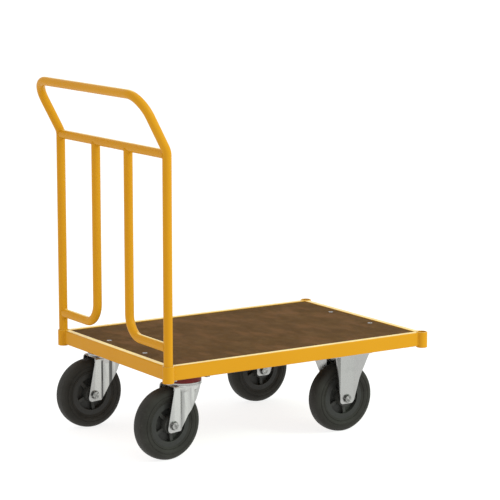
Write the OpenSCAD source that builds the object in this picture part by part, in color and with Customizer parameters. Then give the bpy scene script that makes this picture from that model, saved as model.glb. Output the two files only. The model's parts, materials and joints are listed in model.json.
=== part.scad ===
// Platform trolley: a welded tube frame with a flush board, a plug-in push
// handle over the rear end, two swivel castors under the handle and two fixed
// castors towards the front. +X is forwards, +Y is left, +Z is up. The origin
// is on the floor, under the middle of the whole trolley.

/* [Platform] */
// Distance between the corner socket axes, rear to front
platform_length = 850; // [780:10:1000]
// Distance between the corner socket axes, side to side
platform_width = 590; // [560:10:700]
// Height of the top of the rails above the floor
deck_height = 275; // [270:1:280]
// Height of the frame rails
rail_height = 40; // [38:1:45]
// Thickness of the frame rails, side to side
rail_width = 20; // [18:1:22]
// Distance of the rails' outer faces outside the socket axes
rail_proud = 4; // [3:0.5:5]
// Wall thickness of the frame rails
rail_wall = 2; // [1.5:0.5:3]

/* [Board] */
// Thickness of the board
board_thickness = 15; // [12:1:18]
// Depth of the board's top below the top of the rails
board_recess = 2; // [1:0.5:3]
// Gap between the board's edge and the rails
board_gap = 1; // [0.5:0.5:2]
// Distance of the board screws from the end rails
screw_inset = 26; // [24:1:30]
// Distance between the two screws at each end
screw_spacing = 200; // [150:10:300]

/* [Corner sockets] */
// Outer diameter of the corner sockets
socket_d = 32; // [31:0.5:33]
// Bore of the corner sockets
socket_bore_d = 26; // [25.8:0.1:26.5]
// Height of the socket's rim above the rails
socket_rise = 1; // [0.5:0.5:4]
// Depth of the socket's foot below the rails
socket_drop = 4.5; // [3:0.5:8]

/* [Handle] */
// Outer diameter of every handle tube
tube_d = 25; // [24:0.5:25.5]
// Wall thickness of every handle tube
tube_wall = 2; // [1.5:0.5:3]
// Height at which the uprights' axes lean back
knee_height = 853; // [800:1:900]
// Angle by which the top of the handle leans back
lean_angle = 28; // [20:1:35]
// Length of the leaning part, from the knee to the axis of the grip bar
lean_length = 170; // [150:1:200]
// Bend radius between the leaning tubes and the grip bar
grip_bend_r = 65; // [50:1:80]
// Bend radius at the knee
knee_bend_r = 45; // [40:1:60]
// Height of the cross tube's axis
cross_height = 845; // [790:1:850]
// Distance of the inner tubes from the middle of the trolley
inner_tube_y = 90; // [70:1:110]
// Height of the inner tubes' feet
inner_foot_height = 326; // [310:1:360]
// Bend radius of the inner tubes
inner_bend_r = 60; // [50:1:70]

/* [Castors] */
// Overall height of a castor
castor_height = 235; // [235:1:235]
// Diameter of the wheels
wheel_d = 200; // [190:1:202]
// Width of the tyres
wheel_w = 47; // [44:1:50]
// Distance from the swivel axis back to the wheel's axis
trail = 55; // [52:1:56]
// Position of the swivel axes, measured from the middle of the platform
rear_castor_x = -332; // [-335:1:-328]
// Position of the fixed castors, measured from the middle of the platform
front_castor_x = 193; // [150:1:300]
// Distance of the castors from the middle of the trolley
castor_y = 216; // [200:1:218]
// Resting swivel angle of the left castor
left_swivel = 0; // [-180:0.1:180]
// Resting swivel angle of the right castor
right_swivel = 4.3; // [-180:0.1:180]

/* [Hidden] */
$fn = 64;
eps = 1;
// Chassis levels and plan positions
rail_bottom = deck_height - rail_height;
half_l = platform_length / 2;
half_w = platform_width / 2;
rail_in = rail_width - rail_proud;
rail_edge_r = 3;
board_top = deck_height - board_recess;
board_bottom = board_top - board_thickness;
board_l = platform_length - 2 * rail_in - 2 * board_gap;
board_w = platform_width - 2 * rail_in - 2 * board_gap;
screw_x = half_l - rail_in - screw_inset;
// The grip bar overhangs the rear, so the whole is moved to centre it on the origin
grip_offset = lean_length * sin(lean_angle);
// The tube swells by a hair where the knee's bend ends
bend_swell = 0.1;
// A tube welded to the side of another stops this far before the other's axis
tip_trim = 3;
weld_gap = 0.1;
lean_start = knee_bend_r * tan(lean_angle / 2);
knee_start = knee_height - lean_start;
platform_x = (grip_offset + tube_d / 2 - socket_d / 2) / 2;
// Castor levels
wheel_r = wheel_d / 2;
plate_t = 5;
plate_bottom = castor_height - plate_t;
plate_l = 135;
swivel_plate_w = 110;
fixed_plate_w = 135;
plate_corner_r = 6;
hole_pitch_x = 105;
hole_pitch_y = 80;
hole_r = 5.5;
fork_t = 4;
fork_inner_y = 32;
fork_outer_y = fork_inner_y + fork_t;
fork_bend_r = 8;
crown_top = 209;
crown_r = 51;
race_top = 214;
// Castor bearers: upturned channels between the side rails
bearer_w = 142;
bearer_t = 3;
// Swivel bearing
ball_r = 4;
ball_pitch_r = 36;
ball_z = 217.8;
ball_count = 22;
race_w = 12;
race_lip = 1.6;
race_round = 1;
ball_gap = 0.3;
kingpin_r = 9;
kingpin_head_r = 14;
kingpin_head_h = 6.5;
kingpin_gap = 0.2;
running_gap = 0.05;
seal_t = 5;
seal_gap = 0.4;
// Wheel
tyre_inner_r = 62;
tyre_crown_r = 60;
tyre_shoulder_r = 17;
tyre_flank = 14;
tyre_groove_r = 1.2;
tyre_groove_step = 5;
rim_half_w = 18.5;
rim_wall = 14;
web_half_t = 4;
hub_r = 24.5;
hub_bore_r = 16;
hub_half_w = 28;
rib_count = 5;
rib_t = 9;
rib_half_w = 14;
rib_root = 2;
rib_phase = 10;
// Axle and its roller bearing
axle_r = 6;
sleeve_r = 10;
sleeve_bore_r = 6.1;
roller_r = 2.95;
roller_pitch_r = 13;
roller_count = 10;
roller_half_l = 24.2;
cage_ring_w = 3;
cage_gap = 0.2;
cage_bar_r = 0.7;
// Threaded fasteners
axle_hex = 19;
axle_head_h = 6.5;
axle_flange_r = 13;
axle_flange_t = 1.5;
axle_nut_h = 10;
axle_tip = 3;
bolt_r = 5;
bolt_hex = 17;
bolt_head_h = 6.4;
bolt_nut_h = 8;
bolt_tip = 3;
washer_r = 10.5;
washer_t = 2;
screw_head_r = 7;
screw_head_h = 3.2;
screw_socket = 2;
screw_hex = 4;
screw_tip = 3;
screw_r = 2.8;
screw_hole_r = 3;
tab_w = 34;
tab_t = 4;
tab_reach = 16;
socket_floor = 3;
drain_r = 5;
rim_round = 1.5;

steel_yellow = [0.89, 0.65, 0.12];
zinc = [0.78, 0.78, 0.78];
bright_steel = [0.62, 0.63, 0.65];
seal_red = [0.5, 0.08, 0.06];
tyre_black = [0.16, 0.16, 0.15];
rim_grey = [0.24, 0.24, 0.23];
board_brown = [0.40, 0.30, 0.20];

// ---------- shared shapes ----------

function arc(centre, r, from, to, steps = 8) =
    [for (i = [0:steps]) let (a = from + (to - from) * i / steps) centre + r * [cos(a), sin(a)]];

// Turns a shape drawn along +Z to lie along +Y
module along_y() {
    rotate([-90, 0, 0]) children();
}

// Extrudes an outline drawn in X and Z across the trolley, centred on y = 0
module across(width) {
    translate([0, width / 2, 0]) rotate([90, 0, 0]) linear_extrude(width) children();
}

module rounded_square(x, y, r) {
    square([x - 2 * r, y], center = true);
    square([x, y - 2 * r], center = true);
    for (sx = [-1, 1], sy = [-1, 1]) translate([sx * (x / 2 - r), sy * (y / 2 - r)]) circle(r);
}

module hexagon(across_flats, height) {
    cylinder(d = across_flats / cos(30), h = height, $fn = 6);
}

module on_platform() {
    translate([platform_x, 0, 0]) children();
}

// ---------- frame ----------

// Solid outline of one rail, mitred at both ends towards the socket axes, with rounded edges
module rail_blank(half_length, half_width) {
    inner = half_width - rail_in;
    intersection() {
        translate([0, 0, rail_bottom]) linear_extrude(rail_height) polygon([
            [-half_length + rail_in, inner], [half_length - rail_in, inner],
            [half_length, half_width], [half_length, half_width + rail_proud],
            [-half_length, half_width + rail_proud], [-half_length, half_width]]);
        translate([-half_length - eps, inner + rail_width / 2, rail_bottom + rail_height / 2])
            rotate([90, 0, 90]) linear_extrude(2 * (half_length + eps))
                rounded_square(rail_width, rail_height, rail_edge_r);
    }
}

// A hollow rail along X at +half_width, coped onto the sockets at both ends
module rail(half_length, half_width) {
    color(steel_yellow) difference() {
        rail_blank(half_length, half_width);
        translate([-half_length - eps, half_width - rail_in + rail_wall, rail_bottom + rail_wall])
            cube([2 * (half_length + eps), rail_width - 2 * rail_wall, rail_height - 2 * rail_wall]);
        for (s = [-1, 1]) translate([s * half_length, half_width, rail_bottom - eps])
            cylinder(d = socket_d, h = rail_height + 2 * eps);
    }
}

module side_rail(side) {
    on_platform() mirror([0, side < 0 ? 1 : 0, 0]) rail(half_l, half_w);
}

module end_rail(end) {
    on_platform() rotate([0, 0, end * -90]) rail(half_w, half_l);
}

// A tube with rounded rims and a floor that the handle's upright stands on
module corner_socket(end, side) {
    bottom = rail_bottom - socket_drop;
    height = rail_height + socket_drop + socket_rise;
    bore_r = socket_bore_d / 2;
    on_platform() color(steel_yellow) translate([end * half_l, side * half_w, bottom]) difference() {
        rotate_extrude() difference() {
            union() {
                square([socket_d / 2 - rim_round, height]);
                translate([0, rim_round]) square([socket_d / 2, height - 2 * rim_round]);
                for (z = [rim_round, height - rim_round])
                    translate([socket_d / 2 - rim_round, z]) circle(rim_round);
            }
            translate([0, socket_floor]) square([bore_r, height]);
        }
        translate([0, 0, -eps]) cylinder(r = drain_r, h = socket_floor + 2 * eps);
    }
}

// Places children at the four plate holes of a castor, relative to its middle
module at_plate_holes() {
    for (sx = [-1, 1], sy = [-1, 1])
        translate([sx * hole_pitch_x / 2, sy * hole_pitch_y / 2, 0]) children();
}

// Upturned channel that the board rests on and the castor plates bolt to
module castor_bearer(x) {
    length = 2 * (half_w - rail_in);
    height = board_bottom - rail_bottom;
    on_platform() color(steel_yellow) translate([x, 0, rail_bottom]) difference() {
        translate([-bearer_w / 2, -length / 2, 0]) cube([bearer_w, length, height]);
        translate([-bearer_w / 2 + bearer_t, -length / 2 - eps, bearer_t])
            cube([bearer_w - 2 * bearer_t, length + 2 * eps, height]);
        for (side = [-1, 1]) translate([0, side * castor_y, -eps])
            at_plate_holes() cylinder(r = hole_r, h = bearer_t + 2 * eps);
    }
}

module at_board_screws() {
    for (end = [-1, 1], side = [-1, 1])
        translate([end * screw_x, side * screw_spacing / 2, 0]) children();
}

// A tab for a board screw, welded to an upright face of the frame at the distance root_x
module board_tab(root_x) {
    length = root_x - screw_x + tab_reach;
    difference() {
        translate([root_x - length, -tab_w / 2, board_bottom - tab_t]) cube([length, tab_w, tab_t]);
        translate([screw_x, 0, board_bottom - tab_t - eps]) cylinder(r = screw_r, h = tab_t + 2 * eps);
    }
}

// Two tabs on the front rail, and two inside the rear bearer's rear flange
module board_tabs() {
    rear_flange = -rear_castor_x + bearer_w / 2 - bearer_t;
    on_platform() color(steel_yellow) for (side = [-1, 1]) translate([0, side * screw_spacing / 2, 0]) {
        board_tab(half_l - rail_in);
        mirror([1, 0, 0]) board_tab(rear_flange);
    }
}

module board() {
    on_platform() color(board_brown) difference() {
        translate([-board_l / 2, -board_w / 2, board_bottom]) cube([board_l, board_w, board_thickness]);
        at_board_screws() {
            translate([0, 0, board_bottom - eps]) cylinder(r = screw_hole_r, h = board_thickness + 2 * eps);
            translate([0, 0, board_top - screw_head_h])
                cylinder(r1 = screw_hole_r, r2 = screw_head_r + screw_hole_r - screw_r, h = screw_head_h);
        }
    }
}

// Countersunk screws, flush with the board
module board_screws() {
    shank = board_thickness + tab_t + screw_tip;
    on_platform() color(zinc) at_board_screws() difference() {
        union() {
            translate([0, 0, board_top - shank]) cylinder(r = screw_r, h = shank - screw_head_h);
            translate([0, 0, board_top - screw_head_h])
                cylinder(r1 = screw_r, r2 = screw_head_r, h = screw_head_h);
        }
        translate([0, 0, board_top - screw_socket]) hexagon(screw_hex, screw_socket + eps);
    }
}

// ---------- handle ----------

// Part of a torus in the XZ plane, from +X upwards, around the origin
module bend(bend_r, angle, d) {
    rotate([90, 0, 0]) rotate_extrude(angle = angle) translate([bend_r, 0]) circle(d = d);
}

// Moves the leaning part's own frame, Z along the tube, to the knee
module leaning() {
    translate([-half_l, 0, knee_height]) rotate([0, -lean_angle, 0]) children();
}

// One side of the hoop as a solid of diameter d, with the grip bar up to the middle
module hoop_half(d, foot) {
    translate([-half_l, half_w, foot]) cylinder(d = d, h = knee_start - foot);
    translate([-half_l - knee_bend_r, half_w, knee_start]) bend(knee_bend_r, lean_angle, d);
    leaning() {
        translate([0, half_w, lean_start]) sphere(d = d + bend_swell);
        translate([0, half_w, lean_start]) cylinder(d = d, h = lean_length - grip_bend_r - lean_start);
        translate([0, half_w - grip_bend_r, lean_length - grip_bend_r])
            rotate([0, 0, 90]) bend(grip_bend_r, 90, d);
        translate([0, 0, lean_length]) along_y() cylinder(d = d, h = half_w - grip_bend_r);
    }
}

module hoop_solid(d, foot) {
    hoop_half(d, foot);
    mirror([0, 1, 0]) hoop_half(d, foot);
}

module handle_hoop() {
    foot = rail_bottom - socket_drop + socket_floor;
    on_platform() color(steel_yellow) difference() {
        hoop_solid(tube_d, foot);
        hoop_solid(tube_d - 2 * tube_wall, foot - eps);
    }
}

module cross_tube_solid(d, half_length = half_w) {
    translate([-half_l, -half_length, cross_height]) along_y() cylinder(d = d, h = 2 * half_length);
}

// Coped onto the upright part of each side of the hoop and onto the beginning of its knee
module handle_cross_tube() {
    cope_r = tube_d / 2 + 2 * weld_gap;
    top_angle = asin(max(0, cross_height + tube_d / 2 - knee_start) / knee_bend_r);
    on_platform() color(steel_yellow) difference() {
        cross_tube_solid(tube_d, half_w - tip_trim);
        cross_tube_solid(tube_d - 2 * tube_wall);
        for (side = [-1, 1]) translate([-half_l, side * half_w, 0]) {
            translate([0, 0, cross_height - tube_d]) cylinder(r = cope_r, h = 2 * tube_d);
            translate([0, 0, knee_start]) rotate([0, -top_angle / 2, 0])
                cylinder(r = cope_r, h = 2 * tube_d);
        }
    }
}

// Inner tube as a solid: down from the cross tube, round the bend and out to the upright
module inner_tube_solid(d, trim) {
    bend_top = inner_foot_height + inner_bend_r;
    foot_start = inner_tube_y + inner_bend_r;
    translate([-half_l, inner_tube_y, bend_top]) cylinder(d = d, h = cross_height - trim - bend_top);
    translate([-half_l, foot_start, bend_top]) mirror([0, 0, 1]) rotate([0, 0, -90])
        bend(inner_bend_r, 90, d);
    translate([-half_l, foot_start, inner_foot_height]) along_y()
        cylinder(d = d, h = half_w - trim - foot_start);
}

module handle_inner_tube(side) {
    on_platform() mirror([0, side < 0 ? 1 : 0, 0]) color(steel_yellow) difference() {
        inner_tube_solid(tube_d, tip_trim);
        inner_tube_solid(tube_d - 2 * tube_wall, 0);
        translate([-half_l, half_w, inner_foot_height - tube_d])
            cylinder(r = tube_d / 2 + weld_gap, h = 2 * tube_d);
        cross_tube_solid(tube_d + 2 * weld_gap);
    }
}

// ---------- castors ----------

// Moves a castor drawn about its swivel axis, or its plate's middle, into place
module at_castor(end, side) {
    x = end < 0 ? rear_castor_x : front_castor_x;
    on_platform() translate([x, side * castor_y, 0]) children();
}

// As at_castor, and turned to the castor's resting swivel angle
module at_fork(end, side) {
    angle = end > 0 ? 0 : (side > 0 ? left_swivel : right_swivel);
    at_castor(end, side) rotate([0, 0, angle]) children();
}

// Moves a piece drawn about its own axis, along Y, to the wheel's centre
module at_wheel(end, side) {
    at_fork(end, side) translate([end < 0 ? -trail : 0, 0, wheel_r]) children();
}

module plate(width) {
    translate([0, 0, plate_bottom]) difference() {
        linear_extrude(plate_t) rounded_square(plate_l, width, plate_corner_r);
        translate([0, 0, -eps]) at_plate_holes() cylinder(r = hole_r, h = plate_t + 2 * eps);
    }
}

// Swivel plate with the upper half of the ball race pressed below it
module top_plate(side) {
    at_castor(-1, side) color(zinc) difference() {
        union() {
            plate(swivel_plate_w);
            translate([0, 0, ball_z + race_lip])
                cylinder(r = ball_pitch_r + race_w / 2, h = plate_bottom - ball_z - race_lip);
        }
        translate([0, 0, ball_z]) rotate_extrude() translate([ball_pitch_r, 0]) circle(ball_r + ball_gap);
        cylinder(r = kingpin_r, h = castor_height + eps);
        translate([0, 0, ball_z]) cylinder(r = ball_pitch_r - race_w / 2, h = plate_bottom - ball_z);
    }
}

module kingpin(side) {
    head_top = crown_top - fork_t - kingpin_gap;
    at_castor(-1, side) color(bright_steel) {
        translate([0, 0, head_top - kingpin_head_h]) cylinder(r = kingpin_head_r, h = kingpin_head_h);
        translate([0, 0, head_top - eps])
            cylinder(r = kingpin_r - running_gap, h = plate_bottom - head_top + eps);
        translate([0, 0, plate_bottom]) cylinder(r = kingpin_r, h = plate_t);
    }
}

// Lower half of the ball race, a ring on the fork's crown
module swivel_race(side) {
    at_fork(-1, side) color(zinc) difference() {
        union() {
            translate([0, 0, crown_top]) rotate_extrude() {
                square([crown_r - race_round, race_top - crown_top]);
                translate([0, race_round]) square([crown_r, race_top - crown_top - 2 * race_round]);
                for (z = [race_round, race_top - crown_top - race_round])
                    translate([crown_r - race_round, z]) circle(race_round);
            }
            translate([0, 0, crown_top])
                cylinder(r = ball_pitch_r + race_w / 2, h = ball_z - race_lip - crown_top);
        }
        translate([0, 0, ball_z]) rotate_extrude() translate([ball_pitch_r, 0]) circle(ball_r + running_gap);
        translate([0, 0, crown_top - eps])
            cylinder(r = ball_pitch_r - race_w / 2, h = ball_z - crown_top);
    }
}

module swivel_balls(side) {
    at_fork(-1, side) color(bright_steel) for (i = [0:ball_count - 1])
        rotate([0, 0, i * 360 / ball_count]) translate([ball_pitch_r, 0, ball_z]) sphere(ball_r);
}

module dust_seal(side) {
    height = plate_bottom - seal_gap - race_top;
    at_fork(-1, side) color(seal_red) translate([0, 0, race_top]) rotate_extrude() {
        translate([crown_r - seal_t, 0]) square([seal_t - race_round, height]);
        translate([crown_r - seal_t, 0]) square([seal_t, height - race_round]);
        translate([crown_r - race_round, height - race_round]) circle(race_round);
    }
}

// Side view of a swivel fork's leg: steep rear edge, rounded foot, swept front edge
swivel_leg = concat(
    arc([-44.5, crown_top - 8], 8, 90, 169),
    arc([-63.5, 91.5], 11, 169, 268),
    arc([-35.5, 93], 10.5, 272, 330),
    [[-12, 110], [-3, 126], [10.5, 149], [19.5, 164], [28, 185], [35, 207], [36, crown_top]]);

// Cross-section of a fork from the front: a channel with rounded top corners
module channel_profile(half_y, top, corner_r) {
    translate([-half_y, 0]) square([2 * half_y, top - corner_r]);
    translate([-half_y + corner_r, 0]) square([2 * (half_y - corner_r), top]);
    for (s = [-1, 1]) translate([s * (half_y - corner_r), top - corner_r]) circle(corner_r);
}

// Groove pressed inwards down each leg of a swivel fork: edges and floor seen from above
groove_x = [-34, -25, -6, 3];
groove_depth = 5;
groove_top = 200;
groove_runout = 14;
rivet_x = 17;
rivet_z = 187;
rivet_r = 4.4;
rivet_top_r = 3;
rivet_h = 1.6;

// The groove's volume on the +Y leg below a skin whose outer face is at y, running out at the top
module groove(y) {
    floor_y = y - groove_depth;
    intersection() {
        linear_extrude(groove_top) polygon([
            [groove_x[0], y + eps], [groove_x[0], y], [groove_x[1], floor_y],
            [groove_x[2], floor_y], [groove_x[3], y], [groove_x[3], y + eps]]);
        rotate([90, 0, 90]) translate([0, 0, groove_x[0] - eps])
            linear_extrude(groove_x[3] - groove_x[0] + 2 * eps) polygon([
                [y + eps, 0], [floor_y, 0], [floor_y, groove_top - groove_runout],
                [y, groove_top], [y + eps, groove_top]]);
    }
}

// Two rivet marks, one on each leg of a swivel fork
module rivet_marks() {
    for (s = [-1, 1]) translate([rivet_x, s * (fork_outer_y - eps), rivet_z]) rotate([s * -90, 0, 0])
        cylinder(r1 = rivet_r, r2 = rivet_top_r, h = rivet_h + eps);
}

module fork_profile() {
    difference() {
        channel_profile(fork_outer_y, crown_top, fork_bend_r);
        translate([0, -eps]) channel_profile(fork_inner_y, crown_top - fork_t + eps, fork_bend_r - fork_t);
    }
}

module fork_rear(side) {
    at_fork(-1, side) color(zinc) difference() {
        union() {
            intersection() {
                rotate([90, 0, 90]) translate([0, 0, -crown_r - 2 * trail])
                    linear_extrude(4 * trail) fork_profile();
                across(4 * fork_outer_y) polygon(swivel_leg);
            }
            intersection() {
                for (s = [0, 1]) mirror([0, s, 0]) groove(fork_inner_y);
                across(4 * fork_outer_y) polygon(swivel_leg);
            }
            translate([0, 0, crown_top - fork_t]) cylinder(r = crown_r, h = fork_t);
            rivet_marks();
        }
        for (s = [0, 1]) mirror([0, s, 0]) groove(fork_outer_y);
        translate([0, 0, crown_top - fork_t - eps]) cylinder(r = kingpin_r, h = fork_t + 2 * eps);
        translate([-trail, -fork_outer_y - eps, wheel_r]) along_y()
            cylinder(r = sleeve_bore_r, h = 2 * (fork_outer_y + eps));
    }
}

// Fixed fork: each leg is a flat panel with a flange folded outwards on either side
panel_half_w = 23;
flange_angle = 40;
leg_half_w = 56.5;
waist_half_w = 36;
waist_z = 160;
foot_z = 85;
foot_r = 12;
leg_taper = 0.18;

// Half-width of a fixed fork's leg below its waist
function leg_edge(z) = waist_half_w - leg_taper * (waist_z - z);

module fixed_leg_section() {
    reach = leg_half_w + 2 * fork_t;
    rise = (reach - panel_half_w) * tan(flange_angle);
    inner_x = panel_half_w + fork_t * tan(flange_angle / 2);
    skin = fork_t / cos(flange_angle);
    polygon([[-reach, fork_outer_y + rise], [-panel_half_w, fork_outer_y], [panel_half_w, fork_outer_y],
        [reach, fork_outer_y + rise], [reach, fork_outer_y + rise - skin], [inner_x, fork_inner_y],
        [-inner_x, fork_inner_y], [-reach, fork_outer_y + rise - skin]]);
}

module fork_front(side) {
    foot_x = leg_edge(foot_z + foot_r) - foot_r * sqrt(1 + leg_taper * leg_taper);
    edge_angle = atan(leg_taper);
    at_castor(1, side) color(zinc) {
        difference() {
            intersection() {
                for (s = [0, 1]) mirror([0, s, 0]) linear_extrude(plate_bottom) fixed_leg_section();
                across(2 * fixed_plate_w) polygon(concat(
                    [[leg_half_w, plate_bottom], [-leg_half_w, plate_bottom], [-waist_half_w, waist_z]],
                    arc([-foot_x, foot_z + foot_r], foot_r, 180 + edge_angle, 270),
                    arc([foot_x, foot_z + foot_r], foot_r, 270, 360 - edge_angle),
                    [[waist_half_w, waist_z]]));
            }
            translate([0, -fork_outer_y - eps, wheel_r]) along_y()
                cylinder(r = sleeve_bore_r, h = 2 * (fork_outer_y + eps));
        }
        plate(fixed_plate_w);
    }
}

// ---------- wheels ----------

module axle_bolt(end, side) {
    length = 2 * fork_outer_y + axle_flange_t + axle_nut_h + axle_tip;
    at_wheel(end, side) color(zinc) translate([0, -fork_outer_y, 0]) along_y() {
        translate([0, 0, -axle_flange_t - axle_head_h]) hexagon(axle_hex, axle_head_h);
        translate([0, 0, -axle_flange_t]) cylinder(r = axle_flange_r, h = axle_flange_t);
        cylinder(r = axle_r, h = length);
    }
}

module axle_nut(end, side) {
    at_wheel(end, side) color(zinc) translate([0, fork_outer_y, 0]) along_y() difference() {
        union() {
            cylinder(r = axle_flange_r, h = axle_flange_t);
            hexagon(axle_hex, axle_flange_t + axle_nut_h);
        }
        translate([0, 0, -eps]) cylinder(r = axle_r, h = axle_nut_h + axle_flange_t + 2 * eps);
    }
}

module axle_sleeve(end, side) {
    at_wheel(end, side) color(bright_steel) translate([0, -fork_inner_y, 0]) along_y() difference() {
        cylinder(r = sleeve_r, h = 2 * fork_inner_y);
        translate([0, 0, -eps]) cylinder(r = sleeve_bore_r, h = 2 * (fork_inner_y + eps));
    }
}

// Caged rollers between the sleeve and the hub's bore
module roller_bearing(end, side) {
    step = 360 / roller_count;
    at_wheel(end, side) color(bright_steel) {
        for (i = [0:roller_count - 1]) rotate([0, i * step, 0])
            translate([roller_pitch_r, -roller_half_l, 0]) along_y()
                cylinder(r = roller_r, h = 2 * roller_half_l);
        for (s = [-1, 1])
            translate([0, s * (roller_half_l + cage_gap + cage_ring_w / 2) - cage_ring_w / 2, 0])
            along_y() difference() {
                cylinder(r = hub_bore_r - 2 * running_gap, h = cage_ring_w);
                translate([0, 0, -eps]) cylinder(r = sleeve_r + 2 * running_gap, h = cage_ring_w + 2 * eps);
            }
        for (i = [0:roller_count - 1]) rotate([0, (i + 0.5) * step, 0])
            translate([roller_pitch_r, -roller_half_l - 1, 0]) along_y()
                cylinder(r = cage_bar_r, h = 2 * (roller_half_l + 1));
    }
}

// Moulded wheel centre: rim, web, hub and ribs
module rim(end, side) {
    at_wheel(end, side) color(rim_grey) {
        rotate([90, 0, 0]) rotate_extrude() {
            translate([tyre_inner_r - rim_wall, -rim_half_w]) square([rim_wall, 2 * rim_half_w]);
            translate([hub_r - rib_root, -web_half_t]) square([tyre_inner_r - hub_r, 2 * web_half_t]);
            translate([hub_bore_r, -hub_half_w]) square([hub_r - hub_bore_r, 2 * hub_half_w]);
        }
        for (i = [0:rib_count - 1]) rotate([0, rib_phase + i * 360 / rib_count, 0])
            translate([hub_r - rib_root, -rib_half_w, -rib_t / 2])
                cube([tyre_inner_r - rim_wall - hub_r + 2 * rib_root, 2 * rib_half_w, rib_t]);
    }
}

// Solid rubber tyre: crowned tread, round shoulders, flanks narrowing to the rim, a ring in each
module tyre(end, side) {
    depth = wheel_r - tyre_inner_r;
    half_w_tyre = wheel_w / 2;
    flank_r = tyre_inner_r + tyre_flank;
    at_wheel(end, side) color(tyre_black) rotate([90, 0, 0]) rotate_extrude() difference() {
        intersection() {
            polygon([
                [tyre_inner_r, -rim_half_w], [flank_r, -half_w_tyre], [wheel_r, -half_w_tyre],
                [wheel_r, half_w_tyre], [flank_r, half_w_tyre], [tyre_inner_r, rim_half_w]]);
            translate([tyre_inner_r + depth / 2 - tyre_shoulder_r / 2, 0])
                rounded_square(depth + tyre_shoulder_r, wheel_w, tyre_shoulder_r);
            translate([wheel_r - tyre_crown_r, 0]) circle(tyre_crown_r, $fn = 128);
        }
        for (s = [-1, 1]) {
            translate([flank_r - tyre_flank / 2, s * (rim_half_w + half_w_tyre) / 2]) circle(tyre_groove_r);
            translate([flank_r + tyre_groove_step, s * half_w_tyre]) circle(tyre_groove_r);
        }
    }
}

// ---------- castor plate fasteners ----------

module at_all_plate_holes() {
    for (end = [-1, 1], side = [-1, 1]) at_castor(end, side) at_plate_holes() children();
}

module castor_bolts() {
    length = plate_t + bearer_t + washer_t + bolt_nut_h + bolt_tip;
    color(zinc) at_all_plate_holes() translate([0, 0, plate_bottom]) {
        translate([0, 0, -bolt_head_h]) hexagon(bolt_hex, bolt_head_h);
        cylinder(r = bolt_r, h = length);
    }
}

module castor_nuts() {
    color(zinc) at_all_plate_holes() translate([0, 0, castor_height + bearer_t]) difference() {
        union() {
            cylinder(r = washer_r, h = washer_t);
            hexagon(bolt_hex, washer_t + bolt_nut_h);
        }
        translate([0, 0, -eps]) cylinder(r = bolt_r, h = washer_t + bolt_nut_h + 2 * eps);
    }
}

// ---------- nodes ----------

side_rail(1);  // side_rail_left
side_rail(-1);  // side_rail_right
end_rail(1);  // end_rail_front
end_rail(-1);  // end_rail_rear
corner_socket(1, 1);  // corner_socket_front_left
corner_socket(1, -1);  // corner_socket_front_right
corner_socket(-1, 1);  // corner_socket_rear_left
corner_socket(-1, -1);  // corner_socket_rear_right
castor_bearer(front_castor_x);  // castor_bearer_front
castor_bearer(rear_castor_x);  // castor_bearer_rear
board_tabs();
board();
board_screws();
handle_hoop();
handle_cross_tube();
handle_inner_tube(1);  // handle_inner_tube_left
handle_inner_tube(-1);  // handle_inner_tube_right
castor_bolts();
castor_nuts();
top_plate(1);  // top_plate_rear_left
top_plate(-1);  // top_plate_rear_right
kingpin(1);  // kingpin_rear_left
kingpin(-1);  // kingpin_rear_right
swivel_race(1);  // swivel_race_rear_left
swivel_race(-1);  // swivel_race_rear_right
swivel_balls(1);  // swivel_balls_rear_left
swivel_balls(-1);  // swivel_balls_rear_right
dust_seal(1);  // dust_seal_rear_left
dust_seal(-1);  // dust_seal_rear_right
fork_rear(1);  // fork_rear_left
fork_rear(-1);  // fork_rear_right
fork_front(1);  // fork_front_left
fork_front(-1);  // fork_front_right
axle_bolt(-1, 1);  // axle_bolt_rear_left
axle_bolt(-1, -1);  // axle_bolt_rear_right
axle_bolt(1, 1);  // axle_bolt_front_left
axle_bolt(1, -1);  // axle_bolt_front_right
axle_nut(-1, 1);  // axle_nut_rear_left
axle_nut(-1, -1);  // axle_nut_rear_right
axle_nut(1, 1);  // axle_nut_front_left
axle_nut(1, -1);  // axle_nut_front_right
axle_sleeve(-1, 1);  // axle_sleeve_rear_left
axle_sleeve(-1, -1);  // axle_sleeve_rear_right
axle_sleeve(1, 1);  // axle_sleeve_front_left
axle_sleeve(1, -1);  // axle_sleeve_front_right
roller_bearing(-1, 1);  // roller_bearing_rear_left
roller_bearing(-1, -1);  // roller_bearing_rear_right
roller_bearing(1, 1);  // roller_bearing_front_left
roller_bearing(1, -1);  // roller_bearing_front_right
rim(-1, 1);  // rim_rear_left
rim(-1, -1);  // rim_rear_right
rim(1, 1);  // rim_front_left
rim(1, -1);  // rim_front_right
tyre(-1, 1);  // tyre_rear_left
tyre(-1, -1);  // tyre_rear_right
tyre(1, 1);  // tyre_front_left
tyre(1, -1);  // tyre_front_right
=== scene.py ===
"""Looks for the platform trolley: paint, zinc, rubber and board materials, weld beads and studio."""

import json
import math
from functools import reduce

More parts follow.
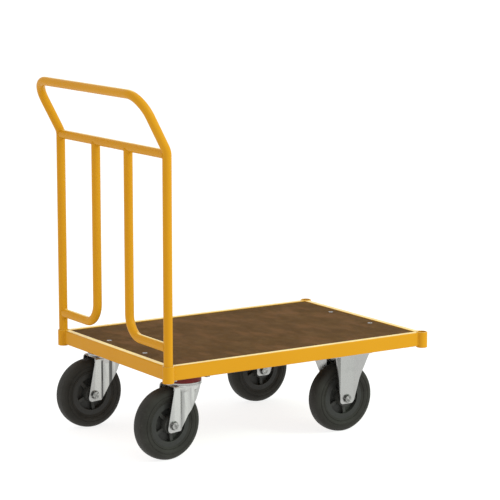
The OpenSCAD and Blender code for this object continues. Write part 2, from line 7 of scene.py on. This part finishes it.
import bmesh
import bpy
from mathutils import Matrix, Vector


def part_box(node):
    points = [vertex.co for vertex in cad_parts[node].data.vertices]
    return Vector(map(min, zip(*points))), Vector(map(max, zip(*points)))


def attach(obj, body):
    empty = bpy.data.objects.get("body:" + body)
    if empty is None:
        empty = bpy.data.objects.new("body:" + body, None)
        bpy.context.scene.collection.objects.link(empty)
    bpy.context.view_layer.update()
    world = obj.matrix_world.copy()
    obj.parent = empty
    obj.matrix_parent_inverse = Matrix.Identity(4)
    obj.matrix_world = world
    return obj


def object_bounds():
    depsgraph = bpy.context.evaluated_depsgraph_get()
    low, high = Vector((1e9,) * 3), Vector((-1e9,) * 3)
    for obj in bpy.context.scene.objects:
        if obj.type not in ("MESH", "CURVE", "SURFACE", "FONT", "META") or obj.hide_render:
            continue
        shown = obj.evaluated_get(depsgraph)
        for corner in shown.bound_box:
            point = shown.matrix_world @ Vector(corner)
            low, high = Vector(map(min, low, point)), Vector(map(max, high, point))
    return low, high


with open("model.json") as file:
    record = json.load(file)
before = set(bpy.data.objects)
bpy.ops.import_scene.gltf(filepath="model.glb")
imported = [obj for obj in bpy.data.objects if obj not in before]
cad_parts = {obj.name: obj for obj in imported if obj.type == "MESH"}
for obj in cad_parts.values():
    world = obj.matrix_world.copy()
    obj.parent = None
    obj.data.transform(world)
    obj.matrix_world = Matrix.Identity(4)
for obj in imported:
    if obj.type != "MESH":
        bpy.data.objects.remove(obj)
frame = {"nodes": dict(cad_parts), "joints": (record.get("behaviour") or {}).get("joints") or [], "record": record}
cad_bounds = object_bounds()
nodes = frame["nodes"]
joints = {j["name"]: j for j in frame["joints"]}

CORNERS = ("front_left", "front_right", "rear_left", "rear_right")
FULL_TURN = 2 * math.pi
X, Y, Z = Vector((1, 0, 0)), Vector((0, 1, 0)), Vector((0, 0, 1))


# ---------- node graphs ----------


class Graph:
    """A material whose nodes are added one call at a time."""

    def __init__(self, name, base, roughness, metallic=0.0, specular=0.5):
        self.material = bpy.data.materials.new(name)
        self.material.use_nodes = True
        self.tree = self.material.node_tree
        self.shader = self.tree.nodes["Principled BSDF"]
        self.shader.inputs["Base Color"].default_value = (*base, 1)
        self.shader.inputs["Roughness"].default_value = roughness
        self.shader.inputs["Metallic"].default_value = metallic
        self.shader.inputs["Specular IOR Level"].default_value = specular
        self.material.diffuse_color = (*base, 1)
        self.coordinates = self.add("ShaderNodeTexCoord").outputs["Object"]

    def add(self, kind, **settings):
        node = self.tree.nodes.new(kind)
        for key, value in settings.items():
            setattr(node, key, value)
        return node

    def link(self, source, target):
        self.tree.links.new(source, target)

    def put(self, socket, value):
        """Links a socket to another's output, or sets it to a number or colour."""
        if isinstance(value, bpy.types.NodeSocket):
            self.link(value, socket)
        else:
            socket.default_value = value

    def math(self, operation, a, b=0.0):
        node = self.add("ShaderNodeMath", operation=operation)
        self.put(node.inputs[0], a)
        self.put(node.inputs[1], b)
        return node.outputs[0]

    def plus(self, a, b):
        return self.math("ADD", a, b)

    def times(self, a, b):
        return self.math("MULTIPLY", a, b)

    def waves(self, place, pitch):
        """A sine wave along a length in metres, one wave to each pitch."""
        return self.math("SINE", self.times(place, FULL_TURN / pitch))

    def dot(self, vector, direction):
        """How far a vector goes in a fixed direction."""
        node = self.add("ShaderNodeVectorMath", operation="DOT_PRODUCT")
        self.link(vector, node.inputs[0])
        node.inputs[1].default_value = direction
        return node.outputs["Value"]

    def scaled(self, factors, offset=(0, 0, 0)):
        """The object's coordinates, stretched by axis and shifted."""
        node = self.add("ShaderNodeMapping")
        self.link(self.coordinates, node.inputs["Vector"])
        node.inputs["Scale"].default_value = factors
        node.inputs["Location"].default_value = offset
        return node.outputs[0]

    def noise(self, scale, detail=3.0, roughness=0.5, vector=None):
        """Soft noise about 0.5, with about `scale` lumps to the metre."""
        node = self.add("ShaderNodeTexNoise")
        self.link(vector or self.coordinates, node.inputs["Vector"])
        node.inputs["Scale"].default_value = scale
        node.inputs["Detail"].default_value = detail
        node.inputs["Roughness"].default_value = roughness
        return node.outputs["Fac"]

    def cells(self, scale):
        """A random value in each cell, with about `scale` cells to the metre."""
        node = self.add("ShaderNodeTexVoronoi")
        self.link(self.coordinates, node.inputs["Vector"])
        node.inputs["Scale"].default_value = scale
        return node.outputs["Color"]

    def span(self, value, low, high, to_low=0.0, to_high=1.0):
        """Turns low to high into to_low to to_high, and goes no further than those."""
        node = self.add("ShaderNodeMapRange")
        self.put(node.inputs["Value"], value)
        node.inputs["From Min"].default_value = low
        node.inputs["From Max"].default_value = high
        node.inputs["To Min"].default_value = to_low
        node.inputs["To Max"].default_value = to_high
        return node.outputs["Result"]

    def mix(self, fac, a, b):
        """Colour a where fac is nought, colour b where it is one."""
        node = self.add("ShaderNodeMix", data_type="RGBA")
        self.put(node.inputs["Factor"], fac)
        colours = [s for s in node.inputs if s.type == "RGBA"]
        for socket, value in zip(colours, (a, b)):
            self.put(socket, (*value, 1) if isinstance(value, tuple) else value)
        return [s for s in node.outputs if s.type == "RGBA"][0]

    def part(self, axis, vector=None):
        node = self.add("ShaderNodeSeparateXYZ")
        self.link(vector or self.coordinates, node.inputs[0])
        return node.outputs[axis]

    def facing_up(self):
        geometry = self.add("ShaderNodeNewGeometry")
        return self.part("Z", geometry.outputs["Normal"])

    def rubbed_edges(self, amount):
        """Up to `amount` on sharp outer edges, nought elsewhere."""
        geometry = self.add("ShaderNodeNewGeometry")
        return self.span(geometry.outputs["Pointiness"], 0.52, 0.58, 0.0, amount)

    def bump(self, height, strength, distance, below=None):
        node = self.add("ShaderNodeBump")
        self.link(height, node.inputs["Height"])
        node.inputs["Strength"].default_value = strength
        node.inputs["Distance"].default_value = distance
        if below is not None:
            self.link(below, node.inputs["Normal"])
        return node.outputs["Normal"]

    def finish(self, colour, roughness, normal=None):
        self.link(colour, self.shader.inputs["Base Color"])
        self.link(roughness, self.shader.inputs["Roughness"])
        if normal is not None:
            self.link(normal, self.shader.inputs["Normal"])
        return self.material


def half_height(node):
    lo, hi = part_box(node)
    return (hi.z - lo.z) / 2


# ---------- paint ----------


def powder_coat():
    """Satin yellow powder coat: orange peel, faint scuffs, a glossier top lightened by dust and a painted
    highlight, painted shade by the board.
    """
    g = Graph("yellow_powder_coat", (0.555, 0.250, 0.009), 0.40, specular=0.07)
    drift = g.span(g.noise(3.0, 2.0), 0.3, 0.7)
    colour = g.mix(drift, (0.540, 0.240, 0.008), (0.566, 0.258, 0.011))
    grime = g.span(g.noise(26.0, 6.0, 0.62), 0.62, 0.84, 0.0, 0.20)
    colour = g.mix(grime, colour, (0.47, 0.185, 0.006))
    scuff = g.noise(14.0, 7.0, 0.7, g.scaled((1.0, 1.0, 5.0)))
    colour = g.mix(g.span(scuff, 0.66, 0.76, 0.0, 0.16), colour, (0.74, 0.43, 0.05))
    # Up-facing tops lighten toward pale cream: partly dust, partly a painted highlight.
    top = g.span(g.facing_up(), 0.90, 0.995)
    dust = g.times(top, g.span(g.noise(22.0, 5.0), 0.35, 0.75, 0.45, 0.75))
    colour = g.mix(dust, colour, (0.90, 0.74, 0.24))
    # Painted shade on the rails' inner faces above the board, broken up by noise.
    painted_gap_shade = g.times(board_gap(g), g.span(g.noise(40.0, 4.0), 0.3, 0.7, 0.6, 0.95))
    colour = g.mix(painted_gap_shade, colour, (0.10, 0.062, 0.012))
    scratch = g.noise(9.0, 5.0, 0.7, g.scaled((14.0, 14.0, 1.4)))
    rough = g.plus(g.span(scratch, 0.35, 0.75, 0.28, 0.42), g.times(grime, 0.3))
    g.link(g.times(top, 0.55), g.shader.inputs["Coat Weight"])
    g.shader.inputs["Coat Roughness"].default_value = 0.25
    peel = g.bump(g.noise(420.0, 2.0), 0.08, 0.0005)
    sag = g.bump(g.noise(45.0, 2.0), 0.05, 0.0012, peel)
    return g.finish(colour, rough, sag)


# How far out from the board the painted shade on the rails reaches, and how far below their top it stops
GAP_WIDTH = 0.0018
UNSHADED_TOP = 0.0004


def board_gap(g):
    """One on the rails' inner faces, down to the board, where the painted shade goes; nought elsewhere."""
    lo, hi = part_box("board")
    limits = (
        ("X", lo.x - GAP_WIDTH, hi.x + GAP_WIDTH),
        ("Y", lo.y - GAP_WIDTH, hi.y + GAP_WIDTH),
        ("Z", lo.z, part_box("side_rail_left")[1].z - UNSHADED_TOP),
    )
    within = []
    for axis, low, high in limits:
        place = g.part(axis)
        within.append(g.times(g.math("GREATER_THAN", place, low), g.math("LESS_THAN", place, high)))
    return reduce(g.times, within)


# ---------- metals ----------


LIGHT_ZINC = (0.400, 0.398, 0.390)
DARK_ZINC = (0.375, 0.373, 0.366)


def bright_zinc(name, light=LIGHT_ZINC, dark=DARK_ZINC, soil=0.25, gloss=0.20, rubbed=0.6, castor=None):
    """Clear zinc plate: spangle, drawn streaks, dull stains, and painted shade in a swivel castor's groove."""
    g = Graph(name, light, 0.25, metallic=1.0)
    spangle = g.span(g.cells(260.0), 0.0, 1.0)
    colour = g.mix(spangle, dark, light)
    stain = g.span(g.noise(24.0, 6.0, 0.6), 0.52, 0.76, 0.0, soil)
    colour = g.mix(stain, colour, tuple(0.72 * c for c in dark))
    colour = g.mix(g.rubbed_edges(rubbed), colour, (0.58, 0.58, 0.56))
    if castor:
        # Painted shade on the slopes of a swivel fork's groove, darker on the rear left one.
        colour = g.mix(painted_groove_shade(g, castor), colour, (0.050, 0.050, 0.048))
    streaks = g.noise(60.0, 4.0, 0.6, g.scaled((9.0, 9.0, 0.7)))
    rough = g.plus(g.span(streaks, 0.3, 0.7, gloss, gloss + 0.12), g.times(stain, 0.3))
    normal = g.bump(streaks, 0.05, 0.0006)
    normal = g.bump(g.noise(300.0, 3.0), 0.015, 0.0003, normal)
    return g.finish(colour, rough, normal)


# Bands of painted shade along the groove in a swivel fork's legs: where each starts and ends, in metres from the
# swivel axis towards the front, and how dark it is
GROOVE_BANDS = {
    "rear_left": ((-0.034, -0.025, 0.86), (-0.006, 0.003, 0.86)),
    "rear_right": ((-0.033, -0.015, 0.20), (-0.006, 0.003, 0.06)),
}

# The heights between which the painted shade fades out at the groove's top, and the shares of a band's half
# width between which it fades out to the side
GROOVE_TOP = (0.194, 0.202)
BAND_EDGE = (0.7, 1.05)


def painted_groove_shade(g, castor):
    """Painted shade on the slopes of the pressed groove of a swivel fork's legs, fading at their edges."""
    swivel = Vector(joints["swivel_" + castor]["pos_m"])
    forwards = swivel - Vector(joints["roll_" + castor]["pos_m"])
    forwards.z = 0
    forwards.normalize()
    place = g.math("SUBTRACT", g.dot(g.coordinates, forwards), swivel.dot(forwards))
    below = g.span(g.part("Z"), *GROOVE_TOP, 1.0, 0.0)
    lines = []
    for start, end, amount in GROOVE_BANDS[castor]:
        middle, half = (start + end) / 2, (end - start) / 2
        away = g.math("ABSOLUTE", g.math("SUBTRACT", place, middle))
        line = g.span(away, half * BAND_EDGE[0], half * BAND_EDGE[1], 1.0, 0.0)
        lines.append(g.times(line, amount))
    return g.times(reduce(g.plus, lines), below)


def oiled_steel():
    """Fine-grained ground steel under a patchy film of oil."""
    g = Graph("oiled_steel", (0.42, 0.42, 0.43), 0.28, metallic=1.0)
    film = g.span(g.noise(90.0, 5.0, 0.6), 0.4, 0.7)
    colour = g.mix(film, (0.46, 0.46, 0.47), (0.27, 0.25, 0.22))
    rough = g.span(film, 0.0, 1.0, 0.24, 0.45)
    return g.finish(colour, rough, g.bump(g.noise(700.0, 2.0), 0.12, 0.0003))


# ---------- plastic and board ----------


def red_plastic():
    """Dark red moulded seal, patchy and a little dusty."""
    g = Graph("red_plastic", (0.24, 0.006, 0.004), 0.45, specular=0.2)
    patch = g.span(g.noise(70.0, 5.0, 0.6), 0.4, 0.75)
    colour = g.mix(patch, (0.140, 0.006, 0.005), (0.080, 0.004, 0.004))
    dust = g.span(g.noise(160.0, 4.0), 0.55, 0.8, 0.0, 0.3)
    colour = g.mix(dust, colour, (0.20, 0.05, 0.04))
    rough = g.span(patch, 0.0, 1.0, 0.36, 0.55)
    return g.finish(colour, rough, g.bump(g.noise(500.0, 3.0), 0.15, 0.0004))


# Thickness of one ply, and the spacing of the mesh pressed into the film
PLY = 0.0015
MESH_PITCH = 0.0042


def board_film():
    """Brown phenolic film on plywood: mottled face with a pressed mesh, ply lines on the edges."""
    g = Graph("board_film", (0.105, 0.052, 0.020), 0.75, specular=0.03)
    mottle = g.noise(60.0, 6.0, 0.7)
    on_face = g.span(g.math("ABSOLUTE", g.facing_up()), 0.4, 0.6)
    scuff = g.noise(16.0, 8.0, 0.72, g.scaled((0.5, 3.0, 1.0)))
    scuffed = g.span(scuff, 0.62, 0.72, 0.0, 0.25)
    colour = g.mix(on_face, ply_edge(g), film_face(g, mottle, scuffed))
    weave = g.times(g.waves(g.part("X"), MESH_PITCH), g.waves(g.part("Y"), MESH_PITCH))
    rough = g.plus(g.span(mottle, 0.3, 0.7, 0.66, 0.82), g.times(scuffed, 0.3))
    normal = g.bump(g.times(weave, on_face), 0.30, 0.0005)
    normal = g.bump(mottle, 0.18, 0.0008, normal)
    return g.finish(colour, rough, normal)


def film_face(g, mottle, scuffed):
    """The film's brown, with grain, flecks, reddish patches and pale scuffs."""
    grain = g.noise(14.0, 8.0, 0.66, g.scaled((0.8, 1.3, 1.0)))
    colour = g.mix(g.span(grain, 0.32, 0.68), (0.064, 0.031, 0.008), (0.108, 0.056, 0.020))
    colour = g.mix(g.span(mottle, 0.45, 0.68, 0.0, 0.6), colour, (0.140, 0.075, 0.028))
    fleck = g.noise(26.0, 3.0, 0.6, g.scaled((1.0, 0.45, 1.0)))
    colour = g.mix(g.span(fleck, 0.42, 0.60, 0.50, 0.0), colour, (0.066, 0.031, 0.007))
    blush = g.noise(19.0, 3.0, 0.6, g.scaled((1.0, 0.45, 1.0), offset=(3.0, 5.0, 0.0)))
    colour = g.mix(g.span(blush, 0.48, 0.66, 0.0, 0.6), colour, (0.150, 0.070, 0.028))
    cloud = g.span(g.noise(3.2, 3.0), 0.3, 0.7, 0.0, 0.35)
    colour = g.mix(cloud, colour, (0.098, 0.049, 0.020))
    return g.mix(scuffed, colour, (0.20, 0.125, 0.070))


def ply_edge(g):
    """Light and dark plies in turn, with dark specks."""
    ply = g.math("PINGPONG", g.times(g.part("Z"), 1.0 / PLY), 1.0)
    colour = g.mix(g.span(ply, 0.35, 0.65), (0.22, 0.12, 0.06), (0.42, 0.27, 0.15))
    return g.mix(g.span(g.noise(300.0, 4.0), 0.4, 0.7, 0.0, 0.5), colour, (0.16, 0.09, 0.05))


# ---------- wheels ----------


def wheel_coordinates(g, joint):
    """A place's radius from a wheel's axis, its angle round it and its distance along it."""
    axis = Vector(joint["axis"]).normalized()
    across = axis.cross(Z).normalized()
    offset = g.add("ShaderNodeVectorMath", operation="SUBTRACT")
    g.link(g.coordinates, offset.inputs[0])
    offset.inputs[1].default_value = Vector(joint["pos_m"])
    u, v, along = [g.dot(offset.outputs[0], direction) for direction in (across, Z, axis)]
    radius = g.math("SQRT", g.plus(g.times(u, u), g.times(v, v)))
    return radius, g.math("ARCTAN2", v, u), along


# Spacing of the rings moulded into the tyre's walls and the rim, and of the fine grooves on the tread
WALL_RINGS = 0.0031
RIM_RINGS = 0.0022
TREAD_GROOVES = 0.0024

# How far in from the tyre's outside its wall turns to tread, and from the rim's outside its ring starts
TREAD_EDGE = (0.012, 0.004)
RIM_EDGE = (0.015, 0.011)

# Streaks round a rim, left by the plastic's flow from the hub
FLOW_LINES = 34.0


def tyre_rubber(corner, joint):
    """Black solid rubber: moulding rings on the walls and a dusty, finely grooved tread."""
    g = Graph("tyre_rubber_" + corner, (0.030, 0.030, 0.028), 0.62, specular=0.15)
    radius, _, along = wheel_coordinates(g, joint)
    outer = half_height("tyre_" + corner)
    tread = g.span(radius, outer - TREAD_EDGE[0], outer - TREAD_EDGE[1])
    wall = g.math("SUBTRACT", 1.0, tread)
    cloud = g.span(g.noise(24.0, 6.0, 0.6), 0.35, 0.7)
    colour = g.mix(cloud, (0.017, 0.016, 0.013), (0.028, 0.027, 0.023))
    speck = g.span(g.noise(210.0, 5.0, 0.7), 0.55, 0.8)
    dirt = g.times(tread, g.span(speck, 0.0, 1.0, 0.08, 0.55))
    colour = g.mix(dirt, colour, (0.075, 0.070, 0.062))
    rough = g.plus(g.span(cloud, 0.0, 1.0, 0.50, 0.62), g.times(dirt, 0.3))
    ring_depth = g.times(wall, g.span(cloud, 0.0, 1.0, 0.4, 1.0))
    normal = g.bump(g.times(g.waves(radius, WALL_RINGS), ring_depth), 0.22, 0.0006)
    grooves = g.times(g.waves(along, TREAD_GROOVES), g.times(tread, 0.6))
    normal = g.bump(grooves, 0.16, 0.0004, normal)
    normal = g.bump(g.noise(650.0, 3.0), 0.20, 0.0004, normal)
    return g.finish(colour, rough, normal)


def rim_plastic(corner, joint):
    """Dark grey moulded nylon: flow lines from the hub, dust, rubbed edges and a darker outer ring."""
    g = Graph("rim_plastic_" + corner, (0.040, 0.040, 0.038), 0.5, specular=0.25)
    radius, angle, _ = wheel_coordinates(g, joint)
    outer = half_height("rim_" + corner)
    cloud = g.span(g.noise(48.0, 5.0, 0.6), 0.35, 0.7)
    colour = g.mix(cloud, (0.025, 0.025, 0.022), (0.038, 0.038, 0.034))
    flow = g.noise(3.0, 4.0, 0.6)
    streak = g.math("SINE", g.plus(g.times(angle, FLOW_LINES), g.times(flow, 9.0)))
    colour = g.mix(g.span(streak, -1.0, 1.0, 0.0, 0.25), colour, (0.036, 0.036, 0.033))
    dust = g.span(g.noise(130.0, 6.0, 0.65), 0.52, 0.78, 0.0, 0.35)
    colour = g.mix(dust, colour, (0.060, 0.057, 0.050))
    colour = g.mix(g.rubbed_edges(0.5), colour, (0.050, 0.050, 0.046))
    ring = g.span(radius, outer - RIM_EDGE[0], outer - RIM_EDGE[1], 0.0, 0.55)
    colour = g.mix(ring, colour, (0.014, 0.014, 0.013))
    rough = g.plus(g.span(cloud, 0.0, 1.0, 0.40, 0.55), g.times(dust, 0.4))
    normal = g.bump(g.waves(radius, RIM_RINGS), 0.08, 0.0003)
    normal = g.bump(g.noise(520.0, 3.0), 0.16, 0.0004, normal)
    return g.finish(colour, rough, normal)


# ---------- CAD nodes: materials and softened edges ----------


by_slot = {
    "yellow_paint": powder_coat(),
    "zinc_plate": bright_zinc("bright_zinc"),
    "bright_steel": oiled_steel(),
    "red_plastic": red_plastic(),
    "board_film": board_film(),
}
# Near-black dark tone and heavy soil on the fasteners: painted dark reflections as well as stains.
fastener_zinc = bright_zinc(
    "fastener_zinc",
    light=(0.44, 0.44, 0.425),
    dark=(0.05, 0.05, 0.048),
    soil=0.7,
    gloss=0.14,
    rubbed=0.2,
)
slots = {s["node"]: s["material_slot"] for s in frame["record"]["subparts"]}

FASTENERS = ("axle_bolt_", "axle_nut_", "castor_bolts", "castor_nuts", "board_screws")

# How wide the rounding of each kind of node's sharp edges is
EDGE = {
    "side_rail": 0.0008,
    "end_rail": 0.0008,
    "castor_bearer": 0.0008,
    "board_tabs": 0.0006,
    "castor_bolts": 0.0005,
    "castor_nuts": 0.0005,
    "top_plate": 0.0008,
    "fork": 0.0009,
    "axle_bolt": 0.0006,
    "axle_nut": 0.0006,
    "rim": 0.0012,
    "kingpin": 0.0006,
}
SHARP = math.radians(32)
SAME_PLACE = 2e-6


def material_of(node):
    """The material of a node's slot, or a variant for fasteners, swivel forks, tyres and rims."""
    kind, _, corner = node.partition("_")
    if node.startswith(FASTENERS):
        return fastener_zinc
    if node.startswith("fork_rear_"):
        return bright_zinc("bright_zinc_" + corner, castor=corner)
    if kind == "tyre":
        return tyre_rubber(corner, joints["roll_" + corner])
    if kind == "rim":
        return rim_plastic(corner, joints["roll_" + corner])
    return by_slot[slots[node]]


def round_edges(o, width):
    """Rounds an object's sharp edges, once the corners that its faces don't share are welded."""
    weld = o.modifiers.new("weld", "WELD")
    weld.merge_threshold = SAME_PLACE
    bevel = o.modifiers.new("eased_edges", "BEVEL")
    bevel.width = width
    bevel.segments = 2
    bevel.limit_method = "ANGLE"
    bevel.angle_limit = SHARP
    bevel.harden_normals = True
    bevel.use_clamp_overlap = True


for node in sorted(nodes):
    nodes[node].data.materials.clear()
    nodes[node].data.materials.append(material_of(node))
    for kind, width in EDGE.items():
        if node.startswith(kind):
            round_edges(nodes[node], width)


# ---------- measures taken from the CAD ----------

cross_lo, cross_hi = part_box("handle_cross_tube")
tube_r = (cross_hi.z - cross_lo.z) / 2
handle_x = (cross_lo.x + cross_hi.x) / 2
cross_z = (cross_lo.z + cross_hi.z) / 2
inner_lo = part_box("handle_inner_tube_left")[0]
inner_y = inner_lo.y + tube_r
foot_z = inner_lo.z + tube_r
socket_axis = {}
for corner in CORNERS:
    lo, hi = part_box("corner_socket_" + corner)
    socket_axis[corner] = ((lo.x + hi.x) / 2, (lo.y + hi.y) / 2)
socket_lo, socket_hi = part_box("corner_socket_front_left")
socket_r = (socket_hi.x - socket_lo.x) / 2
upright_y = socket_axis["rear_left"][1]
rail_lo, rail_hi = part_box("side_rail_left")
rail_proud = rail_hi.y - upright_y


# ---------- weld beads ----------

# Radii of the beads: round the handle's tubes, up the sockets, along their coped edges, on the bearers
TUBE_BEAD = 0.0017
SOCKET_BEAD = 0.0016
COPE_BEAD = 0.0013
BEARER_BEAD = 0.0018

# The ripples along a bead: their spacing, and how much they and chance swell it, in its radii
RIPPLE_PITCH = 0.0032
RIPPLE_HEIGHT = 0.13
UNEVENNESS = 0.07

# An open end's radius, in the bead's radii, and the number of sides of its section
END_RADIUS = 0.35
BEAD_SIDES = 10

# How far a bead round a tube's end lies from the axis of the tube that it meets, in its radii
SEAT = 1.035


def ripple(i, seed):
    """A small repeatable variation from -1 to 1."""
    value = math.sin(i * 12.9898 + seed * 78.233) * 43758.5453
    return 2 * (value - math.floor(value)) - 1


def bead_radii(path, radius, closed, seed):
    """The bead's radius at each point of its path: rippled, and thinner towards an open end."""
    travelled = [0.0]
    for a, b in zip(path, path[1:]):
        travelled.append(travelled[-1] + (b - a).length)
    radii = []
    for distance in travelled:
        phase = distance / RIPPLE_PITCH
        wave = RIPPLE_HEIGHT * abs(math.sin(math.pi * phase))
        swell = 1 + wave + UNEVENNESS * ripple(int(phase), seed)
        taper = 1.0
        if not closed:
            reach = min(distance, travelled[-1] - distance)
            taper = min(1.0, END_RADIUS + (1 - END_RADIUS) * math.sqrt(reach / (2 * radius)))
        radii.append(radius * swell * taper)
    return radii


def bead(name, points, radius, body, seed, closed=False):
    """A weld bead: a rippled round ridge laid along a line of points."""
    path = [Vector(p) for p in points]
    count = len(path)
    bm = bmesh.new()
    rings = []
    guide = None
    for i, thickness in enumerate(bead_radii(path, radius, closed, seed)):
        ahead = path[(i + 1) % count] if closed or i < count - 1 else path[i]
        behind = path[i - 1] if closed or i > 0 else path[i]
        tangent = (ahead - behind).normalized()
        if guide is None:
            guide = tangent.orthogonal().normalized()
        guide = (guide - tangent * guide.dot(tangent)).normalized()
        side = tangent.cross(guide)
        ring = []
        for k in range(BEAD_SIDES):
            turn = FULL_TURN * k / BEAD_SIDES
            offset = guide * math.cos(turn) + side * math.sin(turn)
            ring.append(bm.verts.new(path[i] + offset * thickness))
        rings.append(ring)
    for a, b in zip(rings, rings[1:] + (rings[:1] if closed else [])):
        for k in range(BEAD_SIDES):
            bm.faces.new((a[k], a[(k + 1) % BEAD_SIDES], b[(k + 1) % BEAD_SIDES], b[k]))
    if not closed:
        bm.faces.new(list(reversed(rings[0])))
        bm.faces.new(rings[-1])
    bmesh.ops.recalc_face_normals(bm, faces=bm.faces)
    for face in bm.faces:
        face.smooth = True
    o = add_mesh(name, bm, by_slot["yellow_paint"])
    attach(o, body)


def add_object(name, data):
    o = bpy.data.objects.new(name, data)
    bpy.context.scene.collection.objects.link(o)
    return o


def add_mesh(name, bm, material):
    mesh = bpy.data.meshes.new(name)
    bm.to_mesh(mesh)
    bm.free()
    mesh.materials.append(material)
    return add_object(name, mesh)


def saddle(end, along, sideways, steps=72):
    """Points round a tube of the handle where it meets another. Their axes cross at `end`: the
    tube's runs along `along` and the other's along `sideways`, both square to X."""
    points = []
    for i in range(steps):
        turn = FULL_TURN * i / steps
        across = tube_r * math.cos(turn)
        lift = tube_r * math.sin(turn)
        back = math.sqrt((tube_r * SEAT) ** 2 - lift**2)
        points.append(end - along * back + sideways * across + X * lift)
    return points


def handle_welds(side, name):
    """Beads round one side's ends of the cross tube and of the inner tube."""
    cross_end = Vector((handle_x, side * upright_y, cross_z))
    foot_end = Vector((handle_x, side * upright_y, foot_z))
    inner_top = Vector((handle_x, side * inner_y, cross_z))
    for label, points, seed in (
        ("cross", saddle(cross_end, Y * side, Z), side + 2),
        ("foot", saddle(foot_end, Y * side, Z), side + 3),
        ("inner", saddle(inner_top, Z, Y), side + 4),
    ):
        bead(f"weld_{label}_{name}", points, TUBE_BEAD, "handle", seed, closed=True)


def upright_line(x, y, steps=40):
    """Points up the rails' height, at x and y."""
    height = rail_hi.z - rail_lo.z
    return [(x, y, rail_lo.z + height * i / steps) for i in range(steps + 1)]


def socket_arc(corner, z, steps=60):
    """Points at height z round the inner side of a corner socket, where the two rails are coped."""
    x, y = socket_axis[corner]
    reach = math.sqrt(socket_r**2 - rail_proud**2)
    start = math.atan2(rail_proud, -reach)
    finish = math.atan2(-reach, rail_proud) + FULL_TURN
    points = []
    for i in range(steps + 1):
        turn = start + (finish - start) * i / steps
        across = math.copysign(socket_r, x) * math.cos(turn)
        sideways = math.copysign(socket_r, y) * math.sin(turn)
        points.append((x + across, y + sideways, z))
    return points


def socket_welds(corner):
    """Beads where two rails meet a corner socket: up their outer faces, and along their coped edges."""
    x, y = socket_axis[corner]
    forwards = math.copysign(1, x)
    outwards = math.copysign(1, y)
    reach = math.sqrt(socket_r**2 - rail_proud**2)
    side_line = upright_line(x - forwards * reach, y + outwards * rail_proud)
    end_line = upright_line(x + forwards * rail_proud, y - outwards * reach)
    bead(f"weld_{corner}_side", side_line, SOCKET_BEAD, "chassis", seed=x * 7 + y * 3)
    bead(f"weld_{corner}_end", end_line, SOCKET_BEAD, "chassis", seed=x * 7 + y * 3)
    for level, height in (("top", rail_hi.z), ("under", rail_lo.z)):
        bead(f"weld_{corner}_{level}", socket_arc(corner, height), COPE_BEAD, "chassis", seed=x * 5 + y)


def bearer_welds(bearer, steps=90, bare=3):
    """Beads along a castor bearer's two ends, leaving a bare stretch at each corner."""
    lo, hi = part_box(bearer)
    for y, name in ((hi.y, "left"), (lo.y, "right")):
        line = [(lo.x + (hi.x - lo.x) * i / steps, y, lo.z) for i in range(bare, steps - bare + 1)]
        bead(f"weld_{bearer}_{name}", line, BEARER_BEAD, "chassis", seed=y * 11)


handle_welds(1, "left")
handle_welds(-1, "right")
for corner in CORNERS:
    socket_welds(corner)
bearer_welds("castor_bearer_front")
bearer_welds("castor_bearer_rear")


# ---------- studio ----------

FLOOR_RADIUS = 40
FLOOR_SIDES = 48
FLOOR_DROP = 0.0002


def pale_floor():
    """Floor that glows nearly white, so that it shows almost no shadow, as in the photograph."""
    g = Graph("studio_floor", (0.30, 0.30, 0.30), 0.85, specular=0.0)
    g.shader.inputs["Emission Color"].default_value = (1, 1, 1, 1)
    g.shader.inputs["Emission Strength"].default_value = 0.82
    colour = g.mix(g.span(g.noise(1.2, 3.0), 0.3, 0.7), (0.29, 0.29, 0.288), (0.31, 0.31, 0.308))
    return g.finish(colour, g.span(g.noise(6.0, 3.0), 0.3, 0.7, 0.70, 0.82))


def floor():
    """A wide round floor just under the wheels."""
    bm = bmesh.new()
    centre = bm.verts.new((0, 0, 0))
    rim = []
    for i in range(FLOOR_SIDES):
        turn = FULL_TURN * i / FLOOR_SIDES
        rim.append(bm.verts.new((FLOOR_RADIUS * math.cos(turn), FLOOR_RADIUS * math.sin(turn), 0)))
    for i in range(FLOOR_SIDES):
        bm.faces.new((centre, rim[i], rim[(i + 1) % FLOOR_SIDES]))
    o = add_mesh("studio_floor", bm, pale_floor())
    o.location.z = cad_bounds[0].z - FLOOR_DROP


def area_light(name, place, target, side, power, colour=(1, 1, 1)):
    """A square light at a place, facing a target."""
    light = bpy.data.lights.new(name, "AREA")
    light.shape = "SQUARE"
    light.size = side
    light.energy = power
    light.color = colour
    o = add_object(name, light)
    o.location = place
    o.rotation_mode = "QUATERNION"
    o.rotation_quaternion = (Vector(target) - Vector(place)).to_track_quat("-Z", "Y")


floor()
area_light("key", (2.6, -3.2, 3.0), (0, 0, 0.4), side=1.6, power=138, colour=(0.78, 1.0, 0.80))
area_light("top", (0.2, 0.3, 4.5), (0, 0, 0.3), side=2.5, power=15)

world = bpy.data.worlds.new("studio")
world.use_nodes = True
background = world.node_tree.nodes["Background"]
background.inputs["Color"].default_value = (1.0, 1.0, 1.0, 1)
background.inputs["Strength"].default_value = 1.0
bpy.context.scene.world = world
bpy.context.scene.view_settings.view_transform = "Standard"


# ---------- camera ----------

AZIMUTH = math.radians(-33.03)
ELEVATION = math.radians(9.49)
LENS = 155.23
DISTANCE = 6.17247

# Where the camera aims: from the platform's middle forwards, to the left, and above the floor
AIM = (0.01342, -0.02055, 0.51287)

back = Vector((
    math.sin(AZIMUTH) * math.cos(ELEVATION),
    -math.cos(AZIMUTH) * math.cos(ELEVATION),
    math.sin(ELEVATION),
))
platform_middle = (socket_axis["front_left"][0] + socket_axis["rear_left"][0]) / 2
camera_data = bpy.data.cameras.new("camera")
camera_data.sensor_width = 36
camera_data.lens = LENS
camera_data.clip_end = 200
camera = add_object("camera", camera_data)
camera.location = Vector((platform_middle, 0, 0)) + Vector(AIM) + back * DISTANCE
camera.rotation_mode = "QUATERNION"
camera.rotation_quaternion = (-back).to_track_quat("-Z", "Y")
bpy.context.scene.camera = camera
